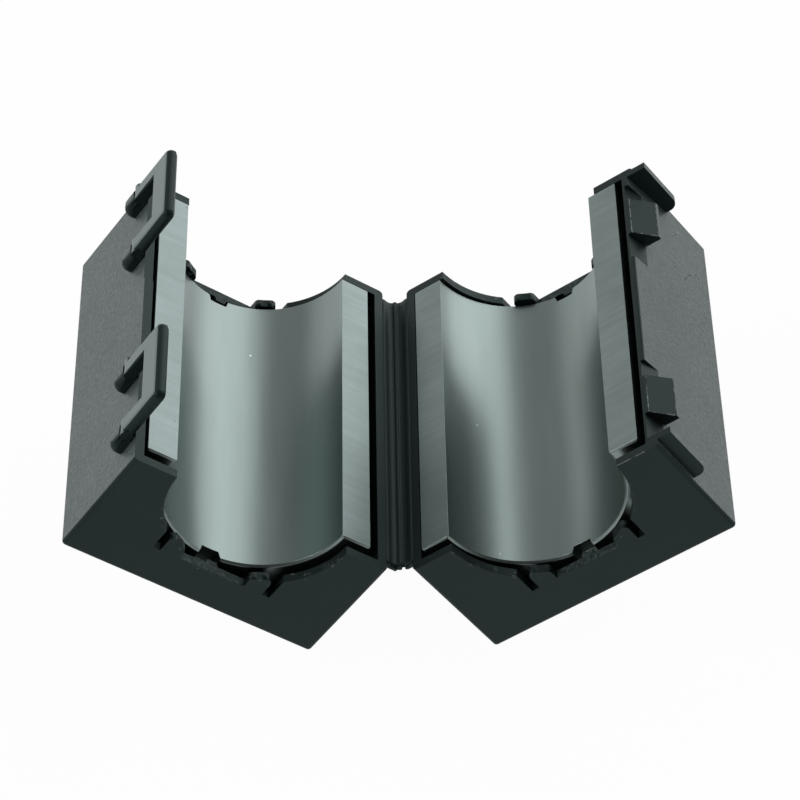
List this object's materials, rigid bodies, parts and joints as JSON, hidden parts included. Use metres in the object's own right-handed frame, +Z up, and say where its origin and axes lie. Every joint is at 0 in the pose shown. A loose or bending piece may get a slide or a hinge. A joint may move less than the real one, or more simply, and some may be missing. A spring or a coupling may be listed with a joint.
{
  "type": "clip-on ferrite core",
  "caption": "Split ferrite sleeve in a hinged plastic case, standing open, with snap loops on one half and wedge catches on the other; it closes round a cable to damp interference.",
  "frame": {"origin": "under the middle of the open part, on the surface that it stands on", "axes": "+X from the latch half to the catch half, +Y along the cable towards the far end, +Z up"},
  "size_m": [0.0864, 0.0538, 0.0441],
  "materials": {
    "case": "fine moulded grain, dark grey",
    "ferrite": "fired and ground, satin mid grey"
  },
  "bodies": {
    "latch_half": {"latch_case": "case", "latch_ferrite": "ferrite"},
    "catch_half": {"catch_case": "case", "catch_ferrite": "ferrite"},
    "far_latch": {"far_loop": "case"},
    "near_latch": {"near_loop": "case"}
  },
  "joints": [
    {"name": "case_hinge", "type": "hinge", "parent": "latch_half", "child": "catch_half", "pos_m": [0, 0, 0.01401], "axis": [0, 1, 0], "range_deg": [-110, 70]},
    {"name": "far_latch_hinge", "type": "hinge", "parent": "latch_half", "child": "far_latch", "pos_m": [-0.03393, 0.0182, 0.03703], "axis": [0, -1, 0], "range_deg": [0, 32], "stiffness_Nm_per_rad": 0.1},
    {"name": "near_latch_hinge", "type": "hinge", "parent": "latch_half", "child": "near_latch", "pos_m": [-0.03393, -0.0163, 0.03703], "axis": [0, -1, 0], "range_deg": [0, 32], "stiffness_Nm_per_rad": 0.1}
  ]
}
